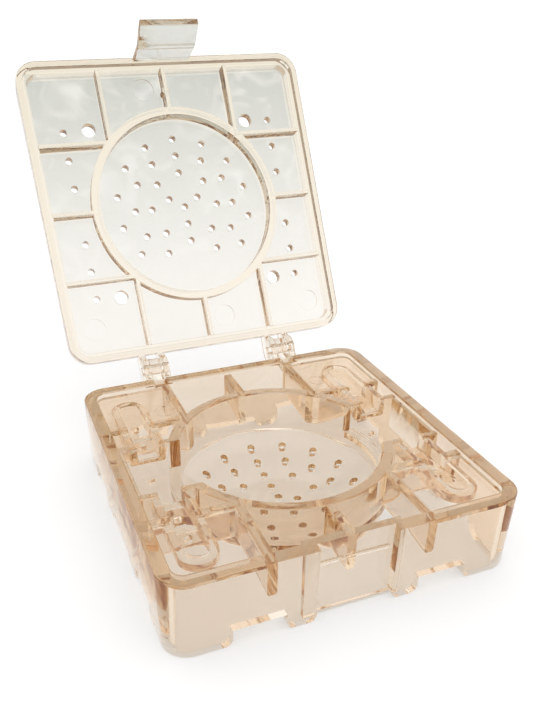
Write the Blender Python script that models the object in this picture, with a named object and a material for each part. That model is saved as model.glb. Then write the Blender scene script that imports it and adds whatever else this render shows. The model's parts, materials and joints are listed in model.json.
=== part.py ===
"""A clear moulded box with a hinged, vented lid: a square tray with a round bowl-floored chamber, a
passage at each side, four narrow wells let into corner decks and open rib cells at the front and back,
and a lid that stands open on two pinned hinges.

The tray and the lid are worked out in millimetres about the middle of the tray, +X right, +Y to the
hinges and +Z up from the surface it stands on, with the lid closed. The lid is then swung open and
everything is moved along Y, so that the origin lies under the middle of the open box.
"""

import math

import bmesh
import bpy
from mathutils import Matrix, Vector

MM = 0.001

# Tray shell
BOX_WIDTH = 90.0
BOX_DEPTH = 90.0
BASE_HEIGHT = 21.5
CORNER_RADIUS = 6.5
WALL = 3.6
INNER_WALL_DROP = 1.0

# Round chamber with its bowl floor, and a floored passage at each side of it
FLOOR_TOP = 10.6
FLOOR_THICKNESS = 1.6
RING_INNER_RADIUS = 27.0
RING_WALL = 3.0
DOOR_HALF_WIDTH = 10.5
SILL_HEIGHT = 1.5
BOWL_FLAT_RADIUS = 5.0
BOWL_FLAT_TOP = 2.0
BOWL_EDGE_TOP = 8.3
BOWL_THICKNESS = 1.5

# Straight ribs, open below, and the decks that close the corners at the top
RIB_THICKNESS = 2.4
RIB_HEIGHT = 10.6
RIB_PITCH = 20.0
SHORT_RIB_Y = 21.5
DECK_DROP = 0.4
DECK_THICKNESS = 1.8

# Four side wells, let into the decks and open to the passage, with floors that rise to the far end
WELL_INNER_WIDTH = 6.0
WELL_WALL = 1.9
WELL_TO_SIDE = 2.9
WELL_TO_END = 3.9
WELL_MOUTH = 12.1
WELL_DEPTH = 5.4
WELL_RAMP = 1.6
WEB_THICKNESS = 1.9
PASSAGE_PAD = 1.0

# Vent holes, on circles in the middle and in rows at the sides
VENT_RADIUS = 1.1
BIG_VENT_RADIUS = 2.15
BIG_VENT_OFFSET = 25.8
VENT_CIRCLE_RADII = (0.0, 5.4, 10.8, 16.2, 21.5)
VENT_CIRCLE_COUNTS = (1, 3, 8, 12, 14)
VENT_ROW_PITCH = 8.5
VENT_ROW_COUNT = 3
PLAIN_SPACE_START = 15.0
PLAIN_SPACE_HALF_WIDTH = 12.0

# Feet, left by notches in the bottom edge of every wall
NOTCH_MIDDLE = 23.5
NOTCH_WIDTH = 13.0
NOTCH_HEIGHT = 4.8
FOOT_ROUNDING = 2.4
MIDDLE_NOTCH_WIDTH = 18.0
MIDDLE_NOTCH_HEIGHT = 2.0

# Latch: a set-back panel and ledge on the tray, a tab on the lid
RECESS_DEPTH = 2.2
RECESS_WALL = 2.6
RECESS_CLEARANCE_LEFT = 0.8
RECESS_CLEARANCE_RIGHT = 1.2
RECESS_FOOT = 0.3
LEDGE_DROP = 5.3
LEDGE_HEIGHT = 1.0
LEDGE_REACH = 0.4
TAB_WIDTH = 17.7
TAB_THICKNESS = 1.5
TAB_CLEARANCE = 0.9
TAB_CREASE_DROP = 7.5
TAB_BARB = 0.2
TAB_BARB_SPREAD = 0.8
TAB_LENGTH = 15.3
TAB_FLARE = 2.8

# Lid
LID_GAP = 0.3
LID_WALL = 3.0
LID_HEIGHT = 7.2
LID_PANEL = 2.6
LID_RING_HEIGHT = 4.0
LID_RING_WALL = 2.4
LID_RIB_HEIGHT = 3.8
LID_RIB_THICKNESS = 1.2
LID_RIB_PITCH = 20.5

# Hinges
HINGE_X = 21.0
AXIS_BACK = 5.3
AXIS_RISE = 0.1
LUG_WIDTH = 3.4
LUG_RADIUS = 3.7
LUG_ARC_START = -60.0
LUG_ARC_END = 170.0
LUG_ROOT_DROP = 5.0
LUG_NOTCH_WIDTH = 4.0
LUG_NOTCH_DEPTH = 0.8
EAR_WIDTH = 2.0
EAR_RADIUS = 4.4
EAR_ARC_START = 190.0
EAR_ARC_END = 450.0
EAR_ARC_TO_HEEL = 10.0
HEEL_TO_EAR_ARC = 15.0
EAR_SIDE_GAP = 0.3
PIN_RADIUS = 1.1
PIN_CLEARANCE = 0.3
STOP_CLEARANCE = 0.3
STOP_HEIGHT = 2.2
OPEN_ANGLE = 120.7

# Facets
CORNER_STEPS = 5
RING_STEPS = 48
VENT_STEPS = 10
BIG_VENT_STEPS = 14
PIN_STEPS = 14
KNUCKLE_STEPS = 8
WELL_STEPS = 8
BOWL_STEPS = 6
SMOOTH_ANGLE = 30.0

# How far joined pieces run into each other, and how far cutters run out of what they cut
OVERLAP = 0.4

# Worked out from the sizes above
HALF_WIDTH = BOX_WIDTH / 2
HALF_DEPTH = BOX_DEPTH / 2
FLOOR_UNDER = FLOOR_TOP - FLOOR_THICKNESS
INNER_TOP = BASE_HEIGHT - INNER_WALL_DROP
RIB_FOOT = INNER_TOP - RIB_HEIGHT
DECK_TOP = INNER_TOP - DECK_DROP
RING_OUTER_RADIUS = RING_INNER_RADIUS + RING_WALL
RING_JOIN_RADIUS = RING_INNER_RADIUS + OVERLAP
RIB_ROOT_RADIUS = RING_OUTER_RADIUS - OVERLAP
RING_FOOT = BOWL_EDGE_TOP - BOWL_THICKNESS
WELL_INNER_HALF = WELL_INNER_WIDTH / 2
WELL_OUTER_HALF = WELL_INNER_HALF + WELL_WALL
WELL_X = HALF_WIDTH - WALL - WELL_TO_SIDE - WELL_OUTER_HALF
WELL_END = HALF_DEPTH - WALL - WELL_TO_END
WELL_TOP = DECK_TOP - OVERLAP / 2
WELL_FLOOR = BASE_HEIGHT - WELL_DEPTH
WELL_UNDER = WELL_FLOOR - WELL_WALL
RECESS_FACE = -HALF_DEPTH + RECESS_DEPTH
TAB_INNER = RECESS_FACE - TAB_CLEARANCE
LID_RIM = BASE_HEIGHT + LID_GAP
LID_TOP = LID_RIM + LID_HEIGHT
LID_CEILING = LID_TOP - LID_PANEL
AXIS_Y = HALF_DEPTH + AXIS_BACK
AXIS_Z = BASE_HEIGHT + AXIS_RISE
QUARTERS = ((1, 1), (-1, 1), (-1, -1), (1, -1))


def clear_scene():
    for item in list(bpy.data.objects):
        bpy.data.objects.remove(item)


def arc(centre, radius, start, end, steps):
    """Points on an arc with both its ends, angles in degrees."""
    turns = [math.radians(start + (end - start) * i / steps) for i in range(steps + 1)]
    return [(centre[0] + radius * math.cos(t), centre[1] + radius * math.sin(t)) for t in turns]


def circle(centre, radius, steps):
    return arc(centre, radius, 0, 360, steps)[:-1]


def box_outline(x0, x1, y0, y1):
    return [(x0, y0), (x1, y0), (x1, y1), (x0, y1)]


def rounded_box(inset):
    """The box's plan drawn in by an inset, with round corners."""
    radius = CORNER_RADIUS - inset
    points = []
    for number, (sx, sy) in enumerate(QUARTERS):
        corner = (sx * (HALF_WIDTH - CORNER_RADIUS), sy * (HALF_DEPTH - CORNER_RADIUS))
        points += arc(corner, radius, 90 * number, 90 * number + 90, CORNER_STEPS)
    return points


def mirrored(outline, sx, sy):
    return [(sx * x, sy * y) for x, y in outline]


def in_quarters(outline):
    return [mirrored(outline, sx, sy) for sx, sy in QUARTERS]


def along_x(u, v, w):
    """Places an outline in Y and Z at a distance along X."""
    return Vector((w, u, v))


def along_y(u, v, w):
    """Places an outline in X and Z at a distance along Y."""
    return Vector((u, w, v))


def along_z(u, v, w):
    """Places an outline in X and Y at a height."""
    return Vector((u, v, w))


def new_object(mesh):
    """A mesh object from a bmesh, its faces turned outwards."""
    bmesh.ops.recalc_face_normals(mesh, faces=mesh.faces)
    data = bpy.data.meshes.new("piece")
    mesh.to_mesh(data)
    mesh.free()
    item = bpy.data.objects.new("piece", data)
    bpy.context.collection.objects.link(item)
    return item


def prism(outlines, low, high, place=along_z):
    """One object of prisms between two levels, one for each outline."""
    mesh = bmesh.new()
    for outline in outlines:
        bottom = [mesh.verts.new(place(u, v, low) * MM) for u, v in outline]
        top = [mesh.verts.new(place(u, v, high) * MM) for u, v in outline]
        mesh.faces.new(bottom)
        mesh.faces.new(top)
        for i in range(len(outline)):
            mesh.faces.new((bottom[i - 1], bottom[i], top[i], top[i - 1]))
    return new_object(mesh)


def turned(profile, steps):
    """A solid turned about Z from a loop of (radius, height) points that starts and ends on the axis."""
    mesh = bmesh.new()
    rings = []
    for radius, height in profile:
        ring = circle((0, 0), radius, steps) if radius else [(0, 0)]
        rings.append([mesh.verts.new(Vector((x, y, height)) * MM) for x, y in ring])
    for first, second in zip(rings, rings[1:]):
        for i in range(steps):
            if len(first) == 1:
                mesh.faces.new((first[0], second[i], second[i - 1]))
            elif len(second) == 1:
                mesh.faces.new((first[i - 1], first[i], second[0]))
            else:
                mesh.faces.new((first[i - 1], first[i], second[i], second[i - 1]))
    return new_object(mesh)


def combine(body, tool, operation):
    modifier = body.modifiers.new(operation, "BOOLEAN")
    modifier.operation = operation
    modifier.solver = "EXACT"
    modifier.object = tool
    graph = bpy.context.evaluated_depsgraph_get()
    result = bpy.data.meshes.new_from_object(body.evaluated_get(graph))
    body.modifiers.clear()
    body.data = result
    bpy.data.objects.remove(tool)


def join(body, tool):
    """Makes the tool part of the body."""
    combine(body, tool, "UNION")


def cut(body, tool):
    """Takes the tool's shape out of the body."""
    combine(body, tool, "DIFFERENCE")


def reach(radius, offset):
    """How far along one axis a circle about the middle runs at an offset along the other."""
    return math.sqrt(max(radius**2 - offset**2, 0))


def ring_wall(low, high, wall):
    ring = prism([circle((0, 0), RING_OUTER_RADIUS, RING_STEPS)], low, high)
    bore = circle((0, 0), RING_OUTER_RADIUS - wall, RING_STEPS)
    cut(ring, prism([bore], low - OVERLAP, high + OVERLAP))
    return ring


def long_ribs(pitch, thickness, end):
    """Plans of the ribs that run along Y from the ring out to an end, at the front and back."""
    half = thickness / 2
    ribs = []
    for x in (-pitch, 0, pitch):
        start = reach(RIB_ROOT_RADIUS, abs(x) + half)
        rib = box_outline(x - half, x + half, start, end + OVERLAP)
        ribs += [rib, mirrored(rib, 1, -1)]
    return ribs


def cross_ribs(middles, thickness, end):
    """Plans of the ribs that run along X from the ring out to an end, at both sides."""
    half = thickness / 2
    ribs = []
    for y in middles:
        start = reach(RIB_ROOT_RADIUS, abs(y) + half)
        rib = box_outline(start, end + OVERLAP, y - half, y + half)
        ribs += [rib, mirrored(rib, -1, 1)]
    return ribs


def circle_vents():
    """Middles of the vents on circles about the middle of the chamber."""
    vents = []
    for radius, count in zip(VENT_CIRCLE_RADII, VENT_CIRCLE_COUNTS):
        turns = [math.radians(90 + 360 * i / count) for i in range(count)]
        vents += [(radius * math.cos(t), radius * math.sin(t)) for t in turns]
    return vents


def in_plain_space(vent):
    """Whether a vent would lie in the unpierced space by the lid's hinge edge."""
    return vent[1] > PLAIN_SPACE_START and abs(vent[0]) < PLAIN_SPACE_HALF_WIDTH


def side_vents():
    """Middles of the vents in a row along each side, over the wells and the passage."""
    rows = [VENT_ROW_PITCH * (i + 1) for i in range(VENT_ROW_COUNT)]
    return [(sx * WELL_X, sy * y) for sx, sy in QUARTERS for y in rows]


def vent_outlines(vents):
    return [circle(vent, VENT_RADIUS, VENT_STEPS) for vent in vents]


def make_base():
    base = prism([rounded_box(0)], 0, BASE_HEIGHT)
    cut(base, prism([rounded_box(WALL)], -OVERLAP, BASE_HEIGHT + OVERLAP))
    add_chamber(base)
    add_ribs_and_decks(base)
    add_wells(base)
    add_latch_panel(base)
    add_hinge_lugs(base)
    cut_feet(base)
    vent_top = WELL_FLOOR + WELL_RAMP + OVERLAP
    cut(base, prism(vent_outlines(circle_vents() + side_vents()), -OVERLAP, vent_top))
    return base


def add_chamber(base):
    """A passage floor from side to side, and over it a bowl in a ring wall with a door at each side."""
    side = HALF_WIDTH - WALL + OVERLAP
    passage = box_outline(-side, side, -WELL_MOUTH, WELL_MOUTH)
    floor = prism([passage], FLOOR_UNDER, FLOOR_TOP)
    bore = circle((0, 0), RING_INNER_RADIUS, RING_STEPS)
    cut(floor, prism([bore], FLOOR_UNDER - OVERLAP, FLOOR_TOP + OVERLAP))
    join(base, floor)
    ring = ring_wall(RING_FOOT, INNER_TOP, RING_WALL)
    door = box_outline(-HALF_WIDTH, HALF_WIDTH, -DOOR_HALF_WIDTH, DOOR_HALF_WIDTH)
    cut(ring, prism([door], FLOOR_TOP + SILL_HEIGHT, INNER_TOP + OVERLAP))
    join(base, ring)
    join(base, turned(bowl_profile(), RING_STEPS))


def bowl_profile():
    """The bowl's upper side from its middle outwards, then its underside back to the middle."""
    rise = BOWL_EDGE_TOP - BOWL_FLAT_TOP
    run = RING_JOIN_RADIUS - BOWL_FLAT_RADIUS
    radius = (run**2 + rise**2) / (2 * rise)
    sweep = math.degrees(math.asin(run / radius))
    upper = arc((BOWL_FLAT_RADIUS, BOWL_FLAT_TOP + radius), radius, -90, sweep - 90, BOWL_STEPS)
    lower = [(r, z - BOWL_THICKNESS) for r, z in reversed(upper)]
    return [(0, BOWL_FLAT_TOP)] + upper + lower + [(0, BOWL_FLAT_TOP - BOWL_THICKNESS)]


def add_ribs_and_decks(base):
    """Ribs between the chamber and the walls, and a deck over each corner from its ribs to the walls."""
    long = long_ribs(RIB_PITCH, RIB_THICKNESS, HALF_DEPTH - WALL)
    join(base, prism(long, RIB_FOOT, INNER_TOP))
    short = cross_ribs((-SHORT_RIB_Y, SHORT_RIB_Y), RIB_THICKNESS, HALF_WIDTH - WALL)
    join(base, prism(short, RIB_FOOT, INNER_TOP))
    deck = box_outline(RIB_PITCH, HALF_WIDTH - WALL + OVERLAP, SHORT_RIB_Y, HALF_DEPTH - WALL + OVERLAP)
    join(base, prism(in_quarters(deck), DECK_TOP - DECK_THICKNESS, DECK_TOP))


def well_outline(half_width, mouth):
    """Plan of one well: square at its mouth, round at its far end."""
    far = arc((WELL_X, WELL_END - WELL_OUTER_HALF), half_width, 0, 180, WELL_STEPS)
    return [(WELL_X - half_width, mouth), (WELL_X + half_width, mouth)] + far


def well_shapes(half_width, mouth, low, high):
    """The four wells' shapes between two heights, the lower one rising towards the far end."""
    wells = prism(in_quarters(well_outline(half_width, mouth)), low, high)
    slope = WELL_RAMP / (WELL_END - WELL_MOUTH)
    for vertex in wells.data.vertices:
        if vertex.co.z < (low + high) / 2 * MM:
            vertex.co.z += slope * (abs(vertex.co.y) - WELL_MOUTH * MM)
    return wells


def add_wells(base):
    """Troughs let into the decks, a web across each one's mouth down to the passage floor, and side pads."""
    web = (WELL_MOUTH - WEB_THICKNESS, WELL_MOUTH)
    ring_side = reach(RING_JOIN_RADIUS, web[0])
    across = box_outline(ring_side, HALF_WIDTH - WALL + OVERLAP, *web)
    join(base, prism(in_quarters(across), FLOOR_UNDER, INNER_TOP))
    join(base, well_shapes(WELL_OUTER_HALF, WELL_MOUTH - OVERLAP, WELL_UNDER, WELL_TOP))
    cut(base, well_shapes(WELL_INNER_HALF, web[0] - OVERLAP, WELL_FLOOR, INNER_TOP + OVERLAP))
    inside = HALF_WIDTH - WALL - PASSAGE_PAD
    pad = box_outline(inside, HALF_WIDTH - OVERLAP, OVERLAP - WELL_MOUTH, WELL_MOUTH - OVERLAP)
    join(base, prism([pad, mirrored(pad, -1, 1)], FLOOR_TOP - OVERLAP, INNER_TOP - OVERLAP))


def add_latch_panel(base):
    """The front wall steps back behind the latch tab, with a ledge for the tab's barb."""
    left = -TAB_WIDTH / 2 - RECESS_CLEARANCE_LEFT
    right = TAB_WIDTH / 2 + RECESS_CLEARANCE_RIGHT
    back = RECESS_FACE + RECESS_WALL
    pad = box_outline(left - RECESS_WALL, right + RECESS_WALL, RECESS_FACE - OVERLAP, back)
    join(base, prism([pad], RECESS_FOOT, BASE_HEIGHT - OVERLAP / 2))
    recess = notch_outline((left + right) / 2, right - left, BASE_HEIGHT + OVERLAP)
    cut(base, prism([recess], -HALF_DEPTH - OVERLAP, RECESS_FACE, along_y))
    ledge = box_outline(-TAB_WIDTH / 2, TAB_WIDTH / 2, RECESS_FACE - LEDGE_REACH, RECESS_FACE + OVERLAP)
    ledge_top = BASE_HEIGHT - LEDGE_DROP
    join(base, prism([ledge], ledge_top - LEDGE_HEIGHT, ledge_top))


def pin_bore(low, width):
    bore = circle((AXIS_Y, AXIS_Z), PIN_RADIUS + PIN_CLEARANCE, PIN_STEPS)
    return prism([bore], low - OVERLAP, low + width + OVERLAP, along_x)


def add_hinge_lugs(base):
    """A lug behind the back wall for each hinge, below a notch in the rim and bored for its pin."""
    root = HALF_DEPTH - WALL + OVERLAP
    shoulder = BASE_HEIGHT - LUG_NOTCH_DEPTH
    knuckle = arc((AXIS_Y, AXIS_Z), LUG_RADIUS, LUG_ARC_START, LUG_ARC_END, KNUCKLE_STEPS)
    outline = [(root, BASE_HEIGHT - LUG_ROOT_DROP)] + knuckle
    outline += [(HALF_DEPTH + STOP_CLEARANCE, shoulder), (root, shoulder)]
    for side in (-1, 1):
        low = side * HINGE_X - LUG_WIDTH / 2
        join(base, prism([outline], low, low + LUG_WIDTH, along_x))
        middle = side * HINGE_X
        notch = box_outline(
            middle - LUG_NOTCH_WIDTH / 2,
            middle + LUG_NOTCH_WIDTH / 2,
            HALF_DEPTH - WALL - OVERLAP,
            HALF_DEPTH + STOP_CLEARANCE,
        )
        cut(base, prism([notch], shoulder, BASE_HEIGHT + OVERLAP))
        cut(base, pin_bore(low, LUG_WIDTH))


def notch_outline(middle, width, height):
    """A notch seen square to its wall, with the foot corners beside it rounded."""
    half = width / 2
    left = arc((middle - half - FOOT_ROUNDING, FOOT_ROUNDING), FOOT_ROUNDING, 0, -90, CORNER_STEPS)
    right = arc((middle + half + FOOT_ROUNDING, FOOT_ROUNDING), FOOT_ROUNDING, 270, 180, CORNER_STEPS)
    low = [(middle - half - FOOT_ROUNDING, -OVERLAP), (middle + half + FOOT_ROUNDING, -OVERLAP)]
    return left + low + right + [(middle + half, height), (middle - half, height)]


def cut_feet(base):
    """Notches through the foot of all four walls; the set-back latch panel keeps its own straight foot."""
    pair = [notch_outline(side * NOTCH_MIDDLE, NOTCH_WIDTH, NOTCH_HEIGHT) for side in (-1, 1)]
    middle = notch_outline(0, MIDDLE_NOTCH_WIDTH, MIDDLE_NOTCH_HEIGHT)
    deep = WALL + OVERLAP
    cut(base, prism(pair, -HALF_DEPTH - OVERLAP, -HALF_DEPTH + deep, along_y))
    cut(base, prism(pair + [middle], HALF_DEPTH - deep, HALF_DEPTH + OVERLAP, along_y))
    cut(base, prism(pair + [middle], -HALF_WIDTH - OVERLAP, -HALF_WIDTH + deep, along_x))
    cut(base, prism(pair + [middle], HALF_WIDTH - deep, HALF_WIDTH + OVERLAP, along_x))


def make_lid():
    """The lid in its closed place."""
    lid = prism([rounded_box(0)], LID_RIM, LID_TOP)
    cut(lid, prism([rounded_box(LID_WALL)], LID_RIM - OVERLAP, LID_CEILING))
    ring_low = LID_CEILING - LID_RING_HEIGHT
    join(lid, ring_wall(ring_low, LID_CEILING + OVERLAP, LID_RING_WALL))
    rib_low = LID_CEILING - LID_RIB_HEIGHT
    long = long_ribs(LID_RIB_PITCH, LID_RIB_THICKNESS, HALF_DEPTH - LID_WALL)
    join(lid, prism(long, rib_low, LID_CEILING + OVERLAP))
    across = cross_ribs((-LID_RIB_PITCH, 0, LID_RIB_PITCH), LID_RIB_THICKNESS, HALF_WIDTH - LID_WALL)
    join(lid, prism(across, rib_low, LID_CEILING + OVERLAP))
    add_latch_tab(lid)
    add_hinge_ears(lid)
    vents = [vent for vent in circle_vents() if not in_plain_space(vent)]
    cut(lid, prism(vent_outlines(vents + side_vents()), LID_CEILING - OVERLAP, LID_TOP + OVERLAP))
    corners = [(sx * BIG_VENT_OFFSET, sy * BIG_VENT_OFFSET) for sx, sy in QUARTERS]
    big_vents = [circle(corner, BIG_VENT_RADIUS, BIG_VENT_STEPS) for corner in corners]
    cut(lid, prism(big_vents, LID_CEILING - OVERLAP, LID_TOP + OVERLAP))
    return lid


def add_latch_tab(lid):
    """The tab hangs from the lid's free edge, with a barb at its crease and a flared finger end."""
    outer = TAB_INNER - TAB_THICKNESS
    crease = LID_RIM - TAB_CREASE_DROP
    tip = LID_RIM - TAB_LENGTH
    outline = [
        (TAB_INNER, LID_RIM + LID_HEIGHT / 2),
        (outer, LID_RIM + LID_HEIGHT / 2),
        (outer, crease),
        (outer - TAB_FLARE, tip),
        (TAB_INNER - TAB_FLARE, tip),
        (TAB_INNER, crease - TAB_BARB_SPREAD),
        (TAB_INNER + TAB_BARB, crease),
        (TAB_INNER, crease + TAB_BARB_SPREAD),
    ]
    join(lid, prism([outline], -TAB_WIDTH / 2, TAB_WIDTH / 2, along_x))


def ear_outline():
    """An ear about the hinge axis, with a heel whose flat meets the back wall when the lid is open."""
    axis = (AXIS_Y, AXIS_Z)
    root = HALF_DEPTH - LID_WALL / 2
    heel_reach = AXIS_BACK - STOP_CLEARANCE
    heel_start = 180 + OPEN_ANGLE
    heel_end = heel_start + math.degrees(math.atan2(STOP_HEIGHT, heel_reach))
    heel_corner = math.hypot(heel_reach, STOP_HEIGHT)
    under = arc(axis, EAR_RADIUS, EAR_ARC_START, heel_start - EAR_ARC_TO_HEEL, KNUCKLE_STEPS)
    heel = arc(axis, heel_reach, heel_start, heel_start, 1)[:1]
    heel += arc(axis, heel_corner, heel_end, heel_end, 1)[:1]
    over = arc(axis, EAR_RADIUS, heel_end + HEEL_TO_EAR_ARC, EAR_ARC_END, KNUCKLE_STEPS)
    rim = [(root, LID_RIM), (HALF_DEPTH + STOP_CLEARANCE, LID_RIM)]
    return rim + under + heel + over + [(root, AXIS_Z + EAR_RADIUS)]


def add_hinge_ears(lid):
    """Two bored ears for each hinge, one at each side of the lug."""
    offset = LUG_WIDTH / 2 + EAR_SIDE_GAP
    for side in (-1, 1):
        for low in (side * HINGE_X + offset, side * HINGE_X - offset - EAR_WIDTH):
            join(lid, prism([ear_outline()], low, low + EAR_WIDTH, along_x))
            cut(lid, pin_bore(low, EAR_WIDTH))


def make_pin(side):
    """A hinge pin as long as its lug and ears are wide."""
    length = LUG_WIDTH + 2 * (EAR_SIDE_GAP + EAR_WIDTH)
    low = side * HINGE_X - length / 2
    return prism([circle((AXIS_Y, AXIS_Z), PIN_RADIUS, PIN_STEPS)], low, low + length, along_x)


def clear_plastic(name, colour):
    """Clear moulded plastic with a faint tint."""
    material = bpy.data.materials.new(name)
    material.use_nodes = True
    surface = material.node_tree.nodes["Principled BSDF"]
    surface.inputs["Base Color"].default_value = (*colour, 1)
    surface.inputs["Roughness"].default_value = 0.08
    surface.inputs["Metallic"].default_value = 0.0
    surface.inputs["Transmission Weight"].default_value = 0.9
    return material


def settle(item, name, material):
    """Names a piece, puts its origin on the hinge axis and gives it its material and shading."""
    item.name = name
    item.data.name = name
    axis = Vector((0, AXIS_Y, AXIS_Z)) * MM
    item.data.transform(Matrix.Translation(-axis))
    item.location = axis
    item.data.materials.clear()
    item.data.materials.append(material)
    item.data.shade_smooth()
    item.data.set_sharp_from_angle(angle=math.radians(SMOOTH_ANGLE))


def move_to_middle(pieces):
    """Moves all pieces along Y, so that the origin lies under the middle of the open box."""
    bpy.context.view_layer.update()
    places = [(item.matrix_world @ corner.co).y for item in pieces for corner in item.data.vertices]
    for item in pieces:
        item.location.y -= (min(places) + max(places)) / 2


def main():
    clear_scene()
    base = make_base()
    settle(base, "base_tray", clear_plastic("tray_plastic", (0.9, 0.78, 0.68)))
    lid = make_lid()
    settle(lid, "lid", clear_plastic("lid_plastic", (0.88, 0.88, 0.84)))
    lid.rotation_euler.x = -math.radians(OPEN_ANGLE)
    pin_material = clear_plastic("pin_plastic", (0.86, 0.8, 0.72))
    pins = []
    for side, name in ((-1, "hinge_pin_left"), (1, "hinge_pin_right")):
        pins.append(make_pin(side))
        settle(pins[-1], name, pin_material)
    move_to_middle([base, lid] + pins)
    print("hinge axis at y and z, metres:", base.location.y, base.location.z)


main()
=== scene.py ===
import json
import math

import bpy
from mathutils import Matrix, Vector


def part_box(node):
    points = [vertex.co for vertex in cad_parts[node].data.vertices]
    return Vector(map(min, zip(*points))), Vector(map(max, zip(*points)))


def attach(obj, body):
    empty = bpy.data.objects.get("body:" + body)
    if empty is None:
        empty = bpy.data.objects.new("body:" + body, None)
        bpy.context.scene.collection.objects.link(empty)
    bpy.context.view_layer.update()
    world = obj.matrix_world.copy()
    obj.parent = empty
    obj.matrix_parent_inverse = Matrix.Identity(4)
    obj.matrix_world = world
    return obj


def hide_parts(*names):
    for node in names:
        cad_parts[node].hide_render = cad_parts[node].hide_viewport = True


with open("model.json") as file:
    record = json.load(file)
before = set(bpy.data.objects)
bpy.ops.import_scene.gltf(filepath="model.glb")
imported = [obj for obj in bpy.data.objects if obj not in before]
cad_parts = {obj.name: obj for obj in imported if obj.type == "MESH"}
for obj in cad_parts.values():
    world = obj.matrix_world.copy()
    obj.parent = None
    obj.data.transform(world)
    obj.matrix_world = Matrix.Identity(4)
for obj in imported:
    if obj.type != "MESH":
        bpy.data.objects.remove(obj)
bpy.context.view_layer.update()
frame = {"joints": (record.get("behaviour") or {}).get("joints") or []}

# Tray shell: the lower half of the box, one clear injection moulding with a faint amber cast. It is a square
# wall with round corners, open below, and everything inside hangs in it clear of the table.
# Sizes are millimetres about the middle of the tray, with Z up from the table.
MM = 0.001
WIDTH = 90.0
HALF = WIDTH / 2
HEIGHT = 21.5
CORNER = 6.5
WALL = 3.6
INNER_TOP = 20.5
SOFT_EDGE = 0.35
PAST = 0.4
NEAR = 0.01
UPWARD = 0.9
CORNER_STEPS = 10
EDGE_STEPS = 3
tray_low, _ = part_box("base_tray")
middle_y = tray_low.y / MM + HALF


def pick(item):
    """Selects one object and nothing else, in object mode."""
    bpy.ops.object.select_all(action="DESELECT")
    bpy.context.view_layer.objects.active = item
    item.select_set(True)


def select_edges(item, wanted):
    """Selects the edges whose two end points pass a test, and leaves the object in edit mode."""
    pick(item)
    bpy.ops.object.mode_set(mode="EDIT")
    bpy.ops.mesh.select_mode(type="EDGE")
    bpy.ops.mesh.select_all(action="DESELECT")
    bpy.ops.object.mode_set(mode="OBJECT")
    points = [vertex.co / MM for vertex in item.data.vertices]
    for edge in item.data.edges:
        edge.select = wanted(points[edge.vertices[0]], points[edge.vertices[1]])
    bpy.ops.object.mode_set(mode="EDIT")


def round_edges(item, radius, segments, wanted):
    select_edges(item, wanted)
    bpy.ops.mesh.bevel(offset=radius * MM, segments=segments, affect="EDGES")
    bpy.ops.object.mode_set(mode="OBJECT")


def upright(a, b):
    return abs(a.x - b.x) < NEAR and abs(a.y - b.y) < NEAR


def level_at(height):
    """A test for edges that lie level at a height."""
    return lambda a, b: abs(a.z - height) < NEAR and abs(b.z - height) < NEAR


def block(x, y, z, corner=0.0, top=0.0, bottom=0.0):
    """A block between pairs of limits, with round upright corners and softened top or bottom edges."""
    place = Vector((sum(x), sum(y), sum(z))) * MM / 2
    bpy.ops.mesh.primitive_cube_add(size=1, location=place)
    item = bpy.context.object
    item.scale = Vector((abs(x[1] - x[0]), abs(y[1] - y[0]), abs(z[1] - z[0]))) * MM
    bpy.ops.object.transform_apply(location=True, rotation=False, scale=True)
    if corner:
        round_edges(item, corner, CORNER_STEPS, upright)
    if top:
        round_edges(item, top, EDGE_STEPS, level_at(max(z)))
    if bottom:
        round_edges(item, bottom, EDGE_STEPS, level_at(min(z)))
    return item


def drum(x, y, radius, z, count, top=0.0, bottom=0.0):
    """An upright round bar between two heights, with softened top or bottom edges."""
    place = Vector((x, y, sum(z) / 2)) * MM
    depth = (z[1] - z[0]) * MM
    bpy.ops.mesh.primitive_cylinder_add(vertices=count, radius=radius * MM, depth=depth, location=place)
    item = bpy.context.object
    bpy.ops.object.transform_apply(location=True, rotation=False, scale=False)
    if top:
        round_edges(item, top, EDGE_STEPS, level_at(max(z)))
    if bottom:
        round_edges(item, bottom, EDGE_STEPS, level_at(min(z)))
    return item


def flare(item, height, widen, past):
    """Widens a cutter above a height by a small chamfer, then runs it on past the rim."""
    pick(item)
    bpy.ops.object.mode_set(mode="EDIT")
    bpy.ops.mesh.select_mode(type="FACE")
    bpy.ops.mesh.select_all(action="DESELECT")
    bpy.ops.object.mode_set(mode="OBJECT")
    for face in item.data.polygons:
        face.select = face.normal.z > UPWARD and abs(face.center.z / MM - height) < NEAR
    bpy.ops.object.mode_set(mode="EDIT")
    span = max(item.dimensions.x, item.dimensions.y) / MM
    bpy.ops.mesh.extrude_region_move(TRANSFORM_OT_translate={"value": (0, 0, widen * MM)})
    grow = 1 + 2 * widen / span
    bpy.ops.transform.resize(value=(grow, grow, 1))
    bpy.ops.mesh.extrude_region_move(TRANSFORM_OT_translate={"value": (0, 0, past * MM)})
    bpy.ops.object.mode_set(mode="OBJECT")
    return item


def combine(body, tools, operation):
    for tool in tools:
        pick(body)
        modifier = body.modifiers.new(operation, "BOOLEAN")
        modifier.operation = operation
        modifier.solver = "EXACT"
        modifier.object = tool
        bpy.ops.object.modifier_apply(modifier=modifier.name)
        bpy.data.objects.remove(tool)


def add(body, *tools):
    combine(body, tools, "UNION")


def carve(body, *tools):
    combine(body, tools, "DIFFERENCE")


def gather(items):
    """Joins separate cutters into one object."""
    pick(items[0])
    for item in items[1:]:
        item.select_set(True)
    bpy.ops.object.join()
    return bpy.context.object


def sides(limits, sign):
    return tuple(sorted((sign * limits[0], sign * limits[1])))


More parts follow.
